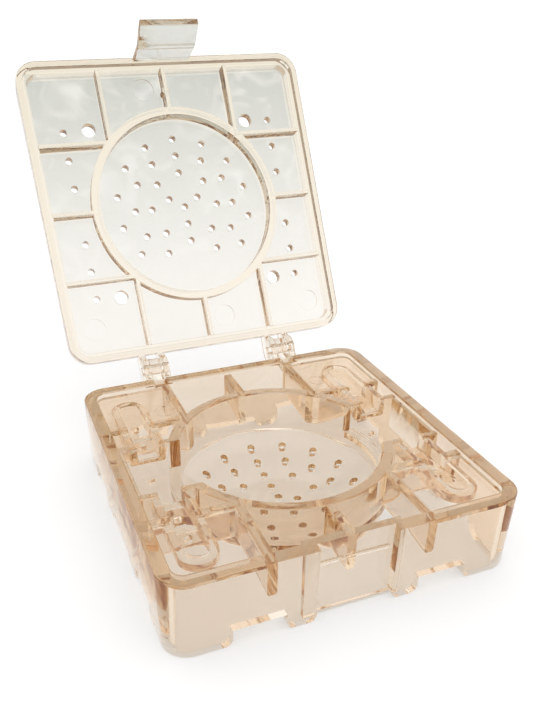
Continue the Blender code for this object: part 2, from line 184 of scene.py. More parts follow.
QUARTERS = ((1, 1), (-1, 1), (-1, -1), (1, -1))
square = (-HALF, HALF)
tray = block(square, square, (0, HEIGHT), CORNER, SOFT_EDGE, SOFT_EDGE)
inner = (-HALF + WALL, HALF - WALL)
cavity = block(inner, inner, (-PAST, HEIGHT - SOFT_EDGE), CORNER - WALL)
carve(tray, flare(cavity, HEIGHT - SOFT_EDGE, SOFT_EDGE, PAST))

# Chamber: a round wall in the middle of the tray over a shallow bowl that nearly reaches the table.
# The wall is cut down to a sill at both sides, where a floored passage leads in.
FLOOR = 10.6
FLOOR_UNDER = 9.0
PASSAGE = 12.1
FILLET = 0.5
RING_INNER = 27.0
RING_OUTER = 30.0
RING_FOOT = 6.8
DOOR = 10.5
SILL = 12.1
BOWL_FLAT = 5.0
BOWL_LOW = 2.0
BOWL_HIGH = 8.3
BOWL_WALL = 1.5
BOWL_RINGS = 14
BOWL_SIDES = 96
RING_SIDES = 128


def bowl_height(radius):
    """Height of the bowl's upper side: flat in the middle, then rising on an arc to the ring wall."""
    rise = BOWL_HIGH - BOWL_LOW
    run = RING_INNER + PAST - BOWL_FLAT
    bend = (run**2 + rise**2) / (2 * rise)
    out = max(radius - BOWL_FLAT, 0)
    return BOWL_LOW + bend - math.sqrt(bend**2 - out**2)


def make_bowl():
    """A disc drawn down ring by ring into a bowl, then given its thickness underneath."""
    edge = RING_INNER + PAST
    place = (0, 0, bowl_height(edge) * MM)
    bpy.ops.mesh.primitive_circle_add(
        vertices=BOWL_SIDES, radius=edge * MM, fill_type="NGON", location=place
    )
    item = bpy.context.object
    bpy.ops.object.transform_apply(location=True, rotation=False, scale=False)
    bpy.ops.object.mode_set(mode="EDIT")
    bpy.ops.mesh.select_mode(type="FACE")
    bpy.ops.mesh.select_all(action="SELECT")
    step = (edge - BOWL_FLAT) / BOWL_RINGS
    for ring in range(BOWL_RINGS):
        radius = edge - step * (ring + 1)
        bpy.ops.mesh.inset(thickness=step * MM)
        drop = bowl_height(radius) - bowl_height(radius + step)
        bpy.ops.transform.translate(value=(0, 0, drop * MM))
    bpy.ops.mesh.select_all(action="SELECT")
    bpy.ops.mesh.extrude_region_move(TRANSFORM_OT_translate={"value": (0, 0, -BOWL_WALL * MM)})
    bpy.ops.mesh.select_all(action="SELECT")
    bpy.ops.mesh.normals_make_consistent(inside=False)
    bpy.ops.object.mode_set(mode="OBJECT")
    return item


side_reach = HALF - WALL + PAST
passage = block((-side_reach, side_reach), (-PASSAGE, PASSAGE), (FLOOR_UNDER, FLOOR))
carve(passage, drum(0, 0, RING_INNER, (FLOOR_UNDER - PAST, FLOOR + PAST), RING_SIDES))
add(tray, passage)
ring = drum(0, 0, RING_OUTER, (RING_FOOT, INNER_TOP), RING_SIDES, SOFT_EDGE)
bore = drum(0, 0, RING_INNER, (RING_FOOT - PAST, INNER_TOP - SOFT_EDGE), RING_SIDES)
carve(ring, flare(bore, INNER_TOP - SOFT_EDGE, SOFT_EDGE, PAST))
carve(ring, block((-HALF, HALF), (-DOOR, DOOR), (SILL, INNER_TOP + PAST), 0, 0, FILLET))
add(tray, ring, make_bowl())

# Ribs and decks: straight ribs with rounded feet tie the chamber to the walls, and between them the cells are
# open right through. A deck closes each corner just below the rim. All are moulded with the tray.
RIB = 2.4
RIB_FOOT = 9.9
RIB_ROUND = 1.0
RIB_PITCH = 20.0
SHORT_RIB = 21.5
DECK = (18.3, 20.1)
MARKS = ((-24.2, 27.3, 2.8), (24.7, 28.8, 2.6))
MARK_DEPTH = 0.3
MARK_SIDES = 48


def ring_reach(radius, offset):
    """How far along one axis a circle about the middle runs, at an offset along the other."""
    return math.sqrt(radius**2 - offset**2)


rib_root = RING_OUTER - PAST
rib_heights = (RIB_FOOT, INNER_TOP)
ribs = []
for sx in (-1, 0, 1):
    across = (sx * RIB_PITCH - RIB / 2, sx * RIB_PITCH + RIB / 2)
    along = (ring_reach(rib_root, abs(sx) * RIB_PITCH + RIB / 2), side_reach)
    ribs += [block(across, sides(along, sy), rib_heights, 0, SOFT_EDGE, RIB_ROUND) for sy in (-1, 1)]
add(tray, gather(ribs))
ribs, decks = [], []
for sx, sy in QUARTERS:
    along = sides((ring_reach(rib_root, SHORT_RIB + RIB / 2), side_reach), sx)
    across = sides((SHORT_RIB - RIB / 2, SHORT_RIB + RIB / 2), sy)
    ribs.append(block(along, across, rib_heights, 0, SOFT_EDGE, RIB_ROUND))
    decks.append(block(sides((RIB_PITCH, side_reach), sx), sides((SHORT_RIB, side_reach), sy), DECK))
add(tray, gather(ribs), gather(decks))

# Wells: four narrow troughs let into the decks, open at one end towards the passage, with a floor that rises
# to the round end. A web under each mouth closes the passage, and pads thicken the walls beside it.
WELL_X = 33.6
WELL_HALF = 4.9
WELL_SLOT = 3.0
WELL_END = 37.5
WELL_FLOOR = 16.1
WELL_UNDER = 14.2
WELL_TOP = 19.9
WELL_RAMP = 1.6
WELL_SOFT = 0.8
WELL_STEPS = 16
NEARLY_ROUND = 0.999
WEB = 1.9
PAD = 1.0


def well_shape(sx, sy, half, mouth, heights, soft):
    """A trough shape: square at its mouth, round at its far end, its underside rising from mouth to end."""
    far = WELL_END - WELL_HALF + half
    item = block(sides((WELL_X - half, WELL_X + half), sx), sides((mouth, far), sy), heights)

    def far_corner(a, b):
        return upright(a, b) and abs(abs(a.y) - far) < NEAR

    round_edges(item, half * NEARLY_ROUND, WELL_STEPS, far_corner)
    if soft:
        round_edges(item, soft, EDGE_STEPS, level_at(min(heights)))
    slope = WELL_RAMP / (WELL_END - PASSAGE)
    for vertex in item.data.vertices:
        if vertex.co.z < sum(heights) / 2 * MM:
            vertex.co.z += slope * (abs(vertex.co.y) - PASSAGE * MM)
    return item


webs, troughs, slots = [], [], []
for sx, sy in QUARTERS:
    across = sides((PASSAGE - WEB, PASSAGE), sy)
    along = sides((ring_reach(RING_INNER + PAST, PASSAGE - WEB), side_reach), sx)
    webs.append(block(along, across, (FLOOR_UNDER, INNER_TOP), 0, SOFT_EDGE))
    troughs.append(well_shape(sx, sy, WELL_HALF, PASSAGE - PAST, (WELL_UNDER, WELL_TOP), WELL_SOFT))
    slots.append(well_shape(sx, sy, WELL_SLOT, PASSAGE - WEB - PAST, (WELL_FLOOR, INNER_TOP + PAST), FILLET))
add(tray, gather(webs), gather(troughs))
carve(tray, gather(slots))
pad_y = (-PASSAGE + PAST, PASSAGE - PAST)
pad_heights = (FLOOR - PAST, INNER_TOP - PAST)
pad_x = (HALF - WALL - PAD, HALF - PAST)
pads = [block(sides(pad_x, sx), pad_y, pad_heights, 0, SOFT_EDGE) for sx in (-1, 1)]
add(tray, gather(pads))
marks = [drum(x, y, radius, (DECK[1] - MARK_DEPTH, HEIGHT), MARK_SIDES) for x, y, radius in MARKS]
carve(tray, gather(marks))

# Latch panel: the front wall steps back behind the lid's tab, with a thin ledge that the tab snaps under.
# The foot beside the step is rounded like the others.
TAB_HALF = 8.85
RECESS = (-TAB_HALF - 0.8, TAB_HALF + 1.2)
RECESS_FACE = -HALF + 2.2
RECESS_WALL = 2.6
RECESS_FOOT = 0.3
LEDGE = (HEIGHT - 6.3, HEIGHT - 5.3)
LEDGE_REACH = 0.4
FOOT_ROUND = 2.4
BAR_SIDES = 48


def level_bar(x, z, radius, depth):
    """A round bar that lies along Y, through the front wall."""
    place = Vector((x, -HALF, z)) * MM
    turn = (math.radians(90), 0, 0)
    bpy.ops.mesh.primitive_cylinder_add(
        vertices=BAR_SIDES, radius=radius * MM, depth=depth * MM, location=place, rotation=turn
    )
    bpy.ops.object.transform_apply(location=True, rotation=True, scale=False)
    return bpy.context.object


def notch(x, top, back):
    """A cutter for a notch in the front wall, flared where the feet beside it are rounded."""
    wall = (-HALF - PAST, back)
    low = block((x[0] - FOOT_ROUND, x[1] + FOOT_ROUND), wall, (-PAST, FOOT_ROUND))
    for middle in (x[0] - FOOT_ROUND, x[1] + FOOT_ROUND):
        carve(low, level_bar(middle, FOOT_ROUND, FOOT_ROUND, 4 * WALL))
    add(low, block(x, wall, (-2 * PAST, top)))
    return low


panel_x = (RECESS[0] - RECESS_WALL, RECESS[1] + RECESS_WALL)
panel_y = (RECESS_FACE - PAST, RECESS_FACE + RECESS_WALL)
add(tray, block(panel_x, panel_y, (RECESS_FOOT, HEIGHT - PAST / 2), 0, SOFT_EDGE))
carve(tray, notch(RECESS, HEIGHT + PAST, RECESS_FACE))
ledge_y = (RECESS_FACE - LEDGE_REACH, RECESS_FACE + PAST)
add(tray, block((-TAB_HALF, TAB_HALF), ledge_y, LEDGE, 0, LEDGE_REACH / 2))

# Feet: the box stands on short feet of the same moulding. Notches in the bottom edge of the wall leave them,
# and their corners are rounded.
NOTCH = (17.0, 30.0)
NOTCH_TOP = 4.8
MIDDLE_NOTCH = (-9.0, 9.0)
MIDDLE_TOP = 2.0
OTHER_WALLS = (90, 180, 270)


def turned_copy(item, degrees):
    """A copy of a front-wall cutter, turned about the middle of the tray to another wall."""
    pick(item)
    bpy.ops.object.duplicate()
    copy = bpy.context.object
    copy.rotation_euler.z = math.radians(degrees)
    bpy.ops.object.transform_apply(location=True, rotation=True, scale=False)
    return copy


notch_back = -HALF + WALL + PAST
pair = gather([notch(sides(NOTCH, side), NOTCH_TOP, notch_back) for side in (-1, 1)])
centre = notch(MIDDLE_NOTCH, MIDDLE_TOP, notch_back)
cutters = [turned_copy(item, turn) for item in (pair, centre) for turn in OTHER_WALLS]
bpy.data.objects.remove(centre)
carve(tray, gather(cutters + [pair]))

# Vents: small round holes that let air through the clear floors. They are moulded in, on circles in the bowl
# and in a row along each side.
VENT = 1.1
VENT_CIRCLES = ((0.0, 1), (5.4, 3), (10.8, 8), (16.2, 12), (21.5, 14))
VENT_ROW = 8.5
VENT_SIDES = 24


def circle_vents():
    places = []
    for radius, count in VENT_CIRCLES:
        turns = [math.radians(90 + 360 * i / count) for i in range(count)]
        places += [(radius * math.cos(turn), radius * math.sin(turn)) for turn in turns]
    return places


side_vents = [(sx * WELL_X, sy * VENT_ROW * row) for sx, sy in QUARTERS for row in (1, 2, 3)]
vent_heights = (-PAST, WELL_FLOOR + WELL_RAMP + PAST)
vents = [drum(x, y, VENT, vent_heights, VENT_SIDES) for x, y in circle_vents() + side_vents]
carve(tray, gather(vents))

# Hinge lugs: two rounded tongues on the back wall, moulded with the tray. Each stands under a small notch in
# the rim and is bored for a pin.
joint = frame["joints"][0]
HINGE_X = 21.0
AXIS_Y = joint["pos_m"][1] / MM - middle_y
AXIS_Z = joint["pos_m"][2] / MM
LUG = 3.4
LUG_ROUND = 3.7
LUG_FOOT = HEIGHT - 5.0
LUG_SHOULDER = HEIGHT - 0.8
BORE = 1.4
LUG_ARC = (-60, 170)
LUG_STEPS = 24
STOP_GAP = 0.3
SAME_POINT = 0.001
PLATE_STEPS = 2
PLATE_SOFT = 0.25
PIN_SIDES = 32


def at_end(x):
    """A test for edges that lie in the plane at one place along X."""
    return lambda a, b: abs(a.x - x) < SAME_POINT and abs(b.x - x) < SAME_POINT


def side_plate(outline, x, soft):
    """A plate from an outline in Y and Z, between two places along X, with softened edges."""
    points = [Vector((x[0], y, z)) * MM for y, z in outline]
    data = bpy.data.meshes.new("plate")
    data.from_pydata(points, [], [range(len(points))])
    item = bpy.data.objects.new("plate", data)
    bpy.context.collection.objects.link(item)
    pick(item)
    bpy.ops.object.mode_set(mode="EDIT")
    bpy.ops.mesh.select_all(action="SELECT")
    bpy.ops.mesh.extrude_region_move(TRANSFORM_OT_translate={"value": ((x[1] - x[0]) * MM, 0, 0)})
    bpy.ops.mesh.select_all(action="SELECT")
    bpy.ops.mesh.normals_make_consistent(inside=False)
    bpy.ops.object.mode_set(mode="OBJECT")
    for end in x:
        round_edges(item, soft, PLATE_STEPS, at_end(end))
    return item


def about_axis(radius, degrees):
    """A point in Y and Z at a distance and an angle from the hinge axis."""
    turn = math.radians(degrees)
    return AXIS_Y + radius * math.cos(turn), AXIS_Z + radius * math.sin(turn)


def arc(radius, start, end, steps):
    return [about_axis(radius, start + (end - start) * i / steps) for i in range(steps + 1)]


def cross_bar(x, radius, soft=0.0):
    """A round bar along X on the hinge axis."""
    place = Vector((sum(x) / 2, AXIS_Y, AXIS_Z)) * MM
    turn = (0, math.radians(90), 0)
    length = (x[1] - x[0]) * MM
    bpy.ops.mesh.primitive_cylinder_add(
        vertices=PIN_SIDES, radius=radius * MM, depth=length, location=place, rotation=turn
    )
    item = bpy.context.object
    bpy.ops.object.transform_apply(location=True, rotation=True, scale=False)
    for end in x if soft else ():
        round_edges(item, soft, PLATE_STEPS, at_end(end))
    return item


root = HALF - WALL + PAST
lug_outline = [(root, LUG_FOOT)] + arc(LUG_ROUND, *LUG_ARC, LUG_STEPS)
lug_outline += [(HALF + STOP_GAP, LUG_SHOULDER), (root, LUG_SHOULDER)]
for side in (-1, 1):
    place = (side * HINGE_X - LUG / 2, side * HINGE_X + LUG / 2)
    add(tray, side_plate(lug_outline, place, PLATE_SOFT))
    gap = (side * HINGE_X - LUG / 2 - STOP_GAP, side * HINGE_X + LUG / 2 + STOP_GAP)
    carve(tray, block(gap, (HALF - WALL - PAST, HALF + STOP_GAP), (LUG_SHOULDER, HEIGHT + PAST)))
    carve(tray, cross_bar((place[0] - PAST, place[1] + PAST), BORE))


# Clear plastic: light that crosses a wall keeps its colour, and light that runs along one comes out amber.
# Faint waves in the surface stand for the flow marks of the moulding.
class Nodes:
    """Makes the nodes of one material."""

    def __init__(self, name):
        self.material = bpy.data.materials.new(name)
        self.material.use_nodes = True
        self.tree = self.material.node_tree
        self.tree.nodes.clear()

    def make(self, kind, settings=None, **sockets):
        node = self.tree.nodes.new(kind)
        for key, value in (settings or {}).items():
            setattr(node, key, value)
        for key, value in sockets.items():
            known = [(item.identifier, item.name.replace(" ", "_")) for item in node.inputs]
            socket = next(item for item, names in zip(node.inputs, known) if key in names)
            if isinstance(value, Value):
                self.tree.links.new(value.socket, socket)
            else:
                socket.default_value = value
        return node

    def out(self, node, name=0):
        return Value(self, node.outputs[name])

    def mix(self, factor, first, second):
        """A colour between two colours."""
        node = self.make("ShaderNodeMix", {"data_type": "RGBA"}, Factor=factor, A_Color=first, B_Color=second)
        return self.out(node, 2)


class Value:
    """A socket that can be used in sums."""

    def __init__(self, nodes, socket):
        self.nodes = nodes
        self.socket = socket

    def math(self, operation, other, swapped=False):
        node = self.nodes.tree.nodes.new("ShaderNodeMath")
        node.operation = operation
        for place, value in enumerate((other, self) if swapped else (self, other)):
            if isinstance(value, Value):
                self.nodes.tree.links.new(value.socket, node.inputs[place])
            else:
                node.inputs[place].default_value = value
        return Value(self.nodes, node.outputs[0])

    def __add__(self, other):
        return self.math("ADD", other)

    def __sub__(self, other):
        return self.math("SUBTRACT", other)

    def __rsub__(self, other):
        return self.math("SUBTRACT", other, True)

    def __mul__(self, other):
        return self.math("MULTIPLY", other)

    def __abs__(self):
        return self.math("ABSOLUTE", 0.0)

    def __lt__(self, other):
        return self.math("LESS_THAN", other)

    def __gt__(self, other):
        return self.math("GREATER_THAN", other)

    __radd__ = __add__
    __rmul__ = __mul__


SLOW_WAVES = {"Scale": 90.0, "Detail": 1.0, "Distortion": 0.6}
FINE_WAVES = {"Scale": 420.0, "Detail": 2.0}
SCUFFS = {"Scale": 160.0, "Detail": 4.0}
FINE_SHARE = 0.25
WAVE_HEIGHT = 0.4
POLISHED = 0.02
SCUFFED = 0.05
BENDING = 1.49


def clear_plastic(nodes, tint, absorbed, density, waves):
    """Clear plastic with a colour that grows with the length of the light's way through it."""
    place = nodes.out(nodes.make("ShaderNodeTexCoord"), "Object")
    slow = nodes.make("ShaderNodeTexNoise", None, Vector=place, **SLOW_WAVES)
    fine = nodes.make("ShaderNodeTexNoise", None, Vector=place, **FINE_WAVES)
    height = nodes.out(slow) + FINE_SHARE * nodes.out(fine)
    bump = nodes.make("ShaderNodeBump", None, Strength=waves, Distance=WAVE_HEIGHT * MM, Height=height)
    scuffs = nodes.make("ShaderNodeTexNoise", None, Vector=place, **SCUFFS)
    roughness = POLISHED + SCUFFED * nodes.out(scuffs)
    surface = nodes.make(
        "ShaderNodeBsdfPrincipled",
        None,
        Base_Color=tint,
        Roughness=roughness,
        IOR=BENDING,
        Transmission_Weight=1.0,
        Normal=nodes.out(bump),
    )
    inside = nodes.make("ShaderNodeVolumeAbsorption", None, Color=(*absorbed, 1), Density=density)
    end = nodes.make("ShaderNodeOutputMaterial")
    nodes.tree.links.new(surface.outputs[0], end.inputs["Surface"])
    nodes.tree.links.new(inside.outputs[0], end.inputs["Volume"])
    return nodes.material


TRAY_TINT = (0.95, 0.858, 0.76, 1)
LUG_TINT = (0.99, 0.968, 0.94, 1)
# Painted light: amber on the upward tops of walls and ribs, where light comes out after running along them.
TOP_PAINTED_LIGHT = (0.8, 0.6, 0.41, 1)
# Painted light and shade: amber on the walls of the bowl's vents.
VENT_PAINTED_LIGHT_AND_SHADE = (0.6, 0.42, 0.22, 1)
TRAY_ABSORBED = (0.72, 0.435, 0.0)
TRAY_DENSITY = 28.0
TRAY_WAVES = 0.12
MOSTLY = 0.5
HARDLY = 0.3
VENTED = RING_INNER - 1.0
SMOOTH_BELOW = 32
SMALL_HOLE = 4


def placed(nodes, matrix):
    """Place in millimetres and direction of the surface, after a matrix, each as three values."""
    coords = nodes.make("ShaderNodeTexCoord")
    turn = tuple(matrix.to_euler())
    place = nodes.make(
        "ShaderNodeMapping",
        None,
        Vector=nodes.out(coords, "Object"),
        Location=matrix.to_translation() / MM,
        Rotation=turn,
        Scale=(1 / MM, 1 / MM, 1 / MM),
    )
    direction = nodes.out(coords, "Normal")
    facing = nodes.make("ShaderNodeMapping", {"vector_type": "VECTOR"}, Vector=direction, Rotation=turn)
    split = [nodes.make("ShaderNodeSeparateXYZ", None, Vector=nodes.out(node)) for node in (place, facing)]
    return nodes.out(place), *([nodes.out(node, way) for way in "XYZ"] for node in split)


def largest(first, *others):
    for other in others:
        first = first.math("MAXIMUM", other)
    return first


def between(value, low, high):
    return abs(value - (low + high) / 2) < (high - low) / 2


def distance(x, y):
    return (x * x + y * y).math("POWER", 0.5)


def tray_tint(nodes):
    """The tray's colour: painted amber light on the tops of walls and ribs, painted amber light and shade on
    the walls of the bowl's vents, and clearer on the lugs.
    """
    to_middle = Matrix.Translation(Vector((0, -middle_y * MM, 0)))
    _, (x, y, z), facing = placed(nodes, to_middle)
    # Masks for the painted amber light on the tops and the painted light and shade in the vents.
    painted_light_tops = (facing[2] > MOSTLY) * (z > (DECK[1] + INNER_TOP) / 2)
    painted_vent_walls = (abs(facing[2]) < HARDLY) * (distance(x, y) < VENTED) * (z < FLOOR)
    walls = nodes.mix(y > HALF + PAST, TRAY_TINT, LUG_TINT)
    return nodes.mix(painted_vent_walls, nodes.mix(painted_light_tops * (y < HALF), walls, TOP_PAINTED_LIGHT), VENT_PAINTED_LIGHT_AND_SHADE)


def settle(item, name, body, node):
    """Puts a finished piece in the frame, smooths its curves and hangs it on its body."""
    pick(item)
    item.name = name
    item.location.y = middle_y * MM
    bpy.ops.object.transform_apply(location=True, rotation=False, scale=False)
    bpy.ops.object.mode_set(mode="EDIT")
    bpy.ops.mesh.select_all(action="SELECT")
    bpy.ops.mesh.remove_doubles(threshold=SAME_POINT * MM)
    bpy.ops.mesh.dissolve_degenerate(threshold=SAME_POINT * MM)
    bpy.ops.mesh.fill_holes(sides=SMALL_HOLE)
    bpy.ops.object.mode_set(mode="OBJECT")
    bpy.ops.object.shade_smooth_by_angle(angle=math.radians(SMOOTH_BELOW))
    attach(item, body)
    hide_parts(node)


tray_nodes = Nodes("tray_clear_plastic")
tray.data.materials.clear()
tray_plastic = clear_plastic(tray_nodes, tray_tint(tray_nodes), TRAY_ABSORBED, TRAY_DENSITY, TRAY_WAVES)
tray.data.materials.append(tray_plastic)
settle(tray, "clear_tray", "tray", "base_tray")

# Lid: the upper half, also one clear moulding, paler than the tray. A shallow rim with a step along its inner
# edge stands round a thin panel, with a low ring and ribs on the panel's inner side and vents through it.
LID_WALL = 3.0
STEP_WIDTH = 1.2
STEP_DEPTH = 1.8
LID_RIM = HEIGHT + 0.3
LID_TOP = LID_RIM + 7.2
CEILING = LID_TOP - 2.6
LID_RING = CEILING - 4.0
LID_RING_INNER = RING_OUTER - 2.4
LID_RIB = CEILING - 3.8
LID_RIB_HALF = 0.6
LID_RIB_SOFT = 0.2
LID_RIB_PITCH = 20.5
LID_MARKS = ((-6.4, -37.1), (-36.0, 34.7), (6.4, 36.0), (36.6, 35.1))
LID_MARK = 3.4
LID_MARK_DEPTH = 0.3
BOSS = (0.0, -35.2)
BOSS_RADIUS = 1.2
BIG_VENT = 2.15
BIG_VENT_PLACE = 25.8
BIG_VENT_SIDES = 36
PLAIN_START = 15.0
PLAIN_HALF = 12.0
lid = block(square, square, (LID_RIM, LID_TOP), CORNER, SOFT_EDGE, SOFT_EDGE)
lid_inner = (-HALF + LID_WALL, HALF - LID_WALL)
carve(lid, block(lid_inner, lid_inner, (LID_RIM - PAST, CEILING), CORNER - LID_WALL, FILLET))
step_edge = HALF - LID_WALL + STEP_WIDTH
step_square = (-step_edge, step_edge)
step_heights = (LID_RIM - PAST, LID_RIM + STEP_DEPTH)
carve(lid, block(step_square, step_square, step_heights, CORNER - LID_WALL + STEP_WIDTH))
lid_ring = drum(0, 0, RING_OUTER, (LID_RING, CEILING + PAST), RING_SIDES, 0, SOFT_EDGE)
carve(lid_ring, drum(0, 0, LID_RING_INNER, (LID_RING - PAST, CEILING + 2 * PAST), RING_SIDES))
add(lid, lid_ring)
for turn in (0, 1):
    ribs = []
    for step in (-1, 0, 1):
        across = (step * LID_RIB_PITCH - LID_RIB_HALF, step * LID_RIB_PITCH + LID_RIB_HALF)
        along = (ring_reach(rib_root, abs(step) * LID_RIB_PITCH + LID_RIB_HALF), HALF - LID_WALL + PAST / 4)
        for side in (-1, 1):
            plan = (across, sides(along, side))
            ribs.append(block(plan[turn], plan[1 - turn], (LID_RIB, CEILING + PAST), 0, 0, LID_RIB_SOFT))
    add(lid, gather(ribs))
add(lid, drum(*BOSS, BOSS_RADIUS, (LID_RIB + SOFT_EDGE, CEILING + PAST), VENT_SIDES, 0, SOFT_EDGE / 2))
lid_vents = [spot for spot in circle_vents() if not (spot[1] > PLAIN_START and abs(spot[0]) < PLAIN_HALF)]
hole_heights = (CEILING - PAST, LID_TOP + PAST)
holes = [drum(x, y, VENT, hole_heights, VENT_SIDES) for x, y in lid_vents + side_vents]
corners = [(sx * BIG_VENT_PLACE, sy * BIG_VENT_PLACE) for sx, sy in QUARTERS]
holes += [drum(x, y, BIG_VENT, hole_heights, BIG_VENT_SIDES) for x, y in corners]
carve(lid, gather(holes))
mark_heights = (CEILING - PAST, CEILING + LID_MARK_DEPTH)
carve(lid, gather([drum(x, y, LID_MARK, mark_heights, MARK_SIDES) for x, y in LID_MARKS]))

# Latch tab: a springy tongue on the lid's free edge, with a small barb at its crease and a flared end that a
# finger lifts. It is moulded with the lid.
TAB = 1.5
TAB_INNER = RECESS_FACE - 0.9
TAB_CREASE = LID_RIM - 7.5
TAB_TIP = LID_RIM - 15.3
TAB_FLARE = 2.8
TAB_BARB = 0.2
TAB_BARB_HALF = 0.8
TAB_SOFT = 0.3
TAB_ROOT = (LID_RIM + LID_TOP) / 2
tab_outline = [
    (TAB_INNER, TAB_ROOT),
    (TAB_INNER - TAB, TAB_ROOT),
    (TAB_INNER - TAB, TAB_CREASE),
    (TAB_INNER - TAB - TAB_FLARE, TAB_TIP),
    (TAB_INNER - TAB_FLARE, TAB_TIP),
    (TAB_INNER, TAB_CREASE - TAB_BARB_HALF),
    (TAB_INNER + TAB_BARB, TAB_CREASE),
    (TAB_INNER, TAB_CREASE + TAB_BARB_HALF),
]
add(lid, side_plate(tab_outline, (-TAB_HALF, TAB_HALF), TAB_SOFT))

# Hinge ears: one on each side of each lug, moulded with the lid and round about the pin, with a heel that
# stops against the back wall when the lid leans open.
EAR = 2.0
EAR_ROUND = 4.4
EAR_GAP = 0.3
EAR_LIFT = 0.5
HEEL_REACH = AXIS_Y - HALF - STOP_GAP
HEEL_HEIGHT = 2.2
EAR_ARC = (190, 450)
EAR_STEPS = 20
HEEL_LEAD = 10
HEEL_TRAIL = 15
OPEN_ANGLE = joint["range_deg"][1]
heel_start = 180 + OPEN_ANGLE
heel_end = heel_start + math.degrees(math.atan2(HEEL_HEIGHT, HEEL_REACH))
ear_outline = [(HALF - LID_WALL / 2, LID_RIM + EAR_LIFT), (HALF + STOP_GAP, LID_RIM)]
ear_outline += arc(EAR_ROUND, EAR_ARC[0], heel_start - HEEL_LEAD, EAR_STEPS)
ear_outline.append(about_axis(HEEL_REACH, heel_start))
ear_outline.append(about_axis(math.hypot(HEEL_REACH, HEEL_HEIGHT), heel_end))
ear_outline += arc(EAR_ROUND, heel_end + HEEL_TRAIL, EAR_ARC[1], EAR_STEPS)
ear_outline += [(HALF - LID_WALL / 2, AXIS_Z + EAR_ROUND)]
for side in (-1, 1):
    offset = LUG / 2 + EAR_GAP
    for low in (side * HINGE_X + offset, side * HINGE_X - offset - EAR):
        add(lid, side_plate(ear_outline, (low, low + EAR), PLATE_SOFT))
        carve(lid, cross_bar((low - PAST, low + EAR + PAST), BORE))
axis = Matrix.Translation(Vector((0, AXIS_Y, AXIS_Z)) * MM)
swing = axis @ Matrix.Rotation(-math.radians(OPEN_ANGLE), 4, "X") @ axis.inverted()
lid.data.transform(swing)

# Lid plastic: the thin panes are a pale green tint greyed with painted shade, darkest at the free edge and
# clearing towards the hinge, with cloudy flow marks. The thick ring and rim are cream, painted lighter than
# the panes as painted light. The upright faces of ribs, ring and vents are amber, where light leaves the
# panel, and the step in the rim is painted as a dark brown line of painted shade.
# Painted shade: the panes' grey, darkest at the free edge, over a pale green tint.
PANE_TINTS_AND_PAINTED_SHADE = ((0.58, 0.605, 0.57, 1), (0.985, 0.975, 0.955, 1))
# Painted light: the cream of the thick ring, rim and ribs, lighter than the panes.
CREAMS_PAINTED_LIGHT = ((0.86, 0.83, 0.74, 1), (0.985, 0.96, 0.91, 1))
AMBERS = ((0.4, 0.28, 0.165, 1), (0.66, 0.5, 0.35, 1))
CLOUD = (0.93, 0.93, 0.91, 1)
# Painted shade on the tab: grey, darker below its crease, with painted amber light on its sides, tip and
# crease.
TAB_PAINTED_SHADES = ((0.72, 0.74, 0.71, 1), (0.8, 0.81, 0.785, 1))
TAB_PAINTED_LIGHT = 0.6
LID_ABSORBED = (0.67, 0.4, 0.0)
LID_DENSITY = 30.0
LID_WAVES = 0.25
FLOW_MARKS = {"Scale": 0.09, "Detail": 1.0, "Distortion": 1.6}
FLOW_MEAN = 0.5
FLOW_CONTRAST = 2.2
TAB_TOP = LID_RIM - 1.0
# Painted shade: the dark brown line on the upright face of the rim's step.
STEP_PAINTED_SHADE = (0.2, 0.13, 0.075, 1)
RING_AMBER = 0.35


